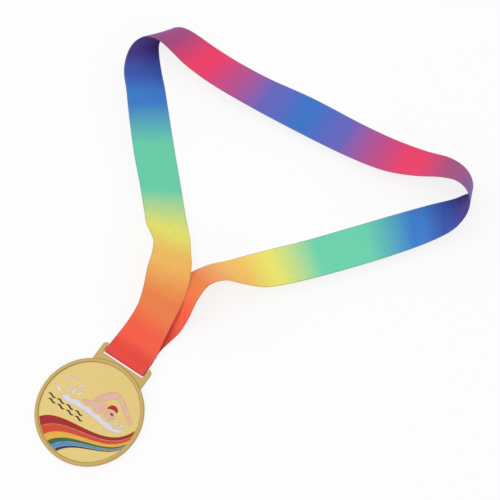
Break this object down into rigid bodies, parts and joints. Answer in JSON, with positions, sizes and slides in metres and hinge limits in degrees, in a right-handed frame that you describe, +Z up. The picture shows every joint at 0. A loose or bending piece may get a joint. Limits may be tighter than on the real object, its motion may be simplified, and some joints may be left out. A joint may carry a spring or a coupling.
{
  "type": "sports finisher medal",
  "caption": "Round die-cast medal with rainbow enamel and a swimmer, hung by a slotted lug on a sewn rainbow neck ribbon lying open on a table.",
  "frame": {"origin": "centre of the medal disc's back face, on the surface it lies on", "axes": "+Z up out of the medal's face, +Y from the disc to its ribbon lug, +X to the right"},
  "size_m": [0.2576, 0.3148, 0.0235],
  "materials": {
    "gold_plating": "sandblasted field with polished edges",
    "crimson_enamel": "gloss",
    "vermilion_enamel": "gloss",
    "yellow_enamel": "gloss",
    "green_enamel": "gloss",
    "blue_enamel": "gloss",
    "violet_enamel": "gloss",
    "skin_enamel": "gloss",
    "red_enamel": "gloss",
    "dark_enamel": "gloss",
    "white_enamel": "gloss",
    "printed_ribbon": "satin weave with a printed rainbow gradient",
    "thread": "matt"
  },
  "bodies": {
    "ribbon": {"neck_ribbon": "printed_ribbon", "seam_stitching": "thread"},
    "medal": {"medal_casting": "gold_plating", "stripe_crimson": "crimson_enamel", "stripe_vermilion": "vermilion_enamel", "stripe_yellow": "yellow_enamel", "stripe_green": "green_enamel", "stripe_blue": "blue_enamel", "stripe_violet": "violet_enamel", "swimmer_body": "skin_enamel", "swimmer_arm": "skin_enamel", "swimmer_face": "skin_enamel", "swimmer_cap": "red_enamel", "swimmer_goggle": "dark_enamel", "water_crest": "white_enamel", "splash_1": "white_enamel", "splash_2": "white_enamel", "splash_3": "white_enamel", "splash_4": "white_enamel", "splash_5": "white_enamel", "splash_6": "white_enamel", "splash_7": "white_enamel", "splash_8": "white_enamel", "splash_9": "white_enamel", "wavelet_1": "dark_enamel", "wavelet_2": "dark_enamel", "wavelet_3": "dark_enamel", "wavelet_4": "dark_enamel", "wavelet_5": "dark_enamel", "wavelet_6": "dark_enamel", "wavelet_7": "dark_enamel", "wavelet_8": "dark_enamel"}
  },
  "joints": [
    {"name": "medal_swing", "type": "hinge", "parent": "ribbon", "child": "medal", "pos_m": [0, 0.0421, 0.0019], "axis": [-1, 0, 0], "range_deg": [0, 150]}
  ]
}
